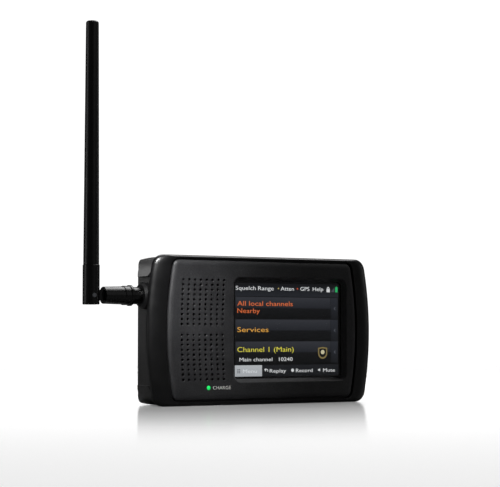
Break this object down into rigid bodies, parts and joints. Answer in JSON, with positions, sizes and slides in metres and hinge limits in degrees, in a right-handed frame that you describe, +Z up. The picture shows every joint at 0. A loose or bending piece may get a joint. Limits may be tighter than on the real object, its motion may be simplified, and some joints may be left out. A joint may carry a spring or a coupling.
{
  "type": "handheld radio scanner",
  "caption": "Handheld touch-screen radio scanner that stands on its bottom edge, with a perforated speaker panel and a swivel antenna on its left side.",
  "frame": {"origin": "middle of the flat bottom face that the scanner stands on", "axes": "+Z up along the antenna, +X to the viewer's right when facing the screen, the screen faces -Y"},
  "size_m": [0.1819, 0.04, 0.2097],
  "materials": {
    "satin_plastic": "moulded, satin",
    "textured_plastic": "moulded, fine grain",
    "cloth": "woven dust cloth",
    "steel": "pressed",
    "paper_cone": "pressed fibre",
    "light_pipe": "clear, lit green",
    "foam": "closed-cell foam",
    "screen_glass": "polished",
    "display_module": "glass and film",
    "ribbon": "film",
    "board": "coated laminate",
    "chip_plastic": "moulded",
    "casing_plastic": "moulded, fine grain",
    "spring_metal": "plated",
    "gold_metal": "plated",
    "antenna_plastic": "moulded, satin gloss",
    "antenna_rubber": "moulded, satin",
    "button_rubber": "moulded",
    "screw_steel": "black zinc",
    "cell_wrap": "printed sleeve"
  },
  "bodies": {
    "scanner_body": {"front_frame": "satin_plastic", "front_panel": "textured_plastic", "grille_cloth": "cloth", "speaker_frame": "steel", "speaker_cone": "paper_cone", "speaker_magnet": "steel", "charge_light": "light_pipe", "window_gasket": "foam", "touch_panel": "screen_glass", "display": "display_module", "display_bracket": "steel", "display_ribbon": "ribbon", "main_board": "board", "board_chips": "chip_plastic", "radio_shield": "steel", "card_socket": "steel", "memory_card": "chip_plastic", "rear_casing": "casing_plastic", "battery_springs": "spring_metal", "battery_contacts": "spring_metal", "antenna_seat": "casing_plastic", "antenna_jack": "gold_metal", "jack_nut": "gold_metal", "power_switch": "chip_plastic", "volume_encoder": "chip_plastic", "usb_jack": "steel", "case_screws": "screw_steel", "board_screws": "screw_steel", "battery_cell_1": "cell_wrap", "battery_cell_2": "cell_wrap", "battery_cell_3": "cell_wrap", "headphone_jack": "chip_plastic", "record_jack": "chip_plastic"},
    "battery_door": {"battery_door": "casing_plastic"},
    "antenna_arm": {"antenna_collar": "antenna_plastic", "antenna_ring": "antenna_plastic", "antenna_arm": "antenna_plastic"},
    "antenna_whip": {"swivel_base": "antenna_rubber", "fold_pin": "steel", "antenna_whip": "antenna_rubber"},
    "power_button": {"power_button": "button_rubber"},
    "volume_knob": {"volume_knob": "button_rubber", "knob_shaft": "steel"}
  },
  "joints": [
    {"name": "antenna_turn", "type": "hinge", "parent": "scanner_body", "child": "antenna_arm", "pos_m": [-0.0788, -0.0076, 0.0606], "axis": [1, 0, 0], "range_deg": [-180, 180]},
    {"name": "antenna_fold", "type": "hinge", "parent": "antenna_arm", "child": "antenna_whip", "pos_m": [-0.103, -0.0076, 0.0606], "axis": [0, 1, 0], "range_deg": [-90, 0]},
    {"name": "door_slide", "type": "slide", "parent": "scanner_body", "child": "battery_door", "axis": [0, 0, 1], "range_m": [0, 0.01]},
    {"name": "power_press", "type": "slide", "parent": "scanner_body", "child": "power_button", "axis": [-1, 0, 0], "range_m": [0, 0.0006], "stiffness_N_per_m": 1500, "springref_m": -0.0003},
    {"name": "volume_turn", "type": "hinge", "parent": "scanner_body", "child": "volume_knob", "pos_m": [0.0704, -0.008, 0.049], "axis": [1, 0, 0], "continuous": true}
  ]
}
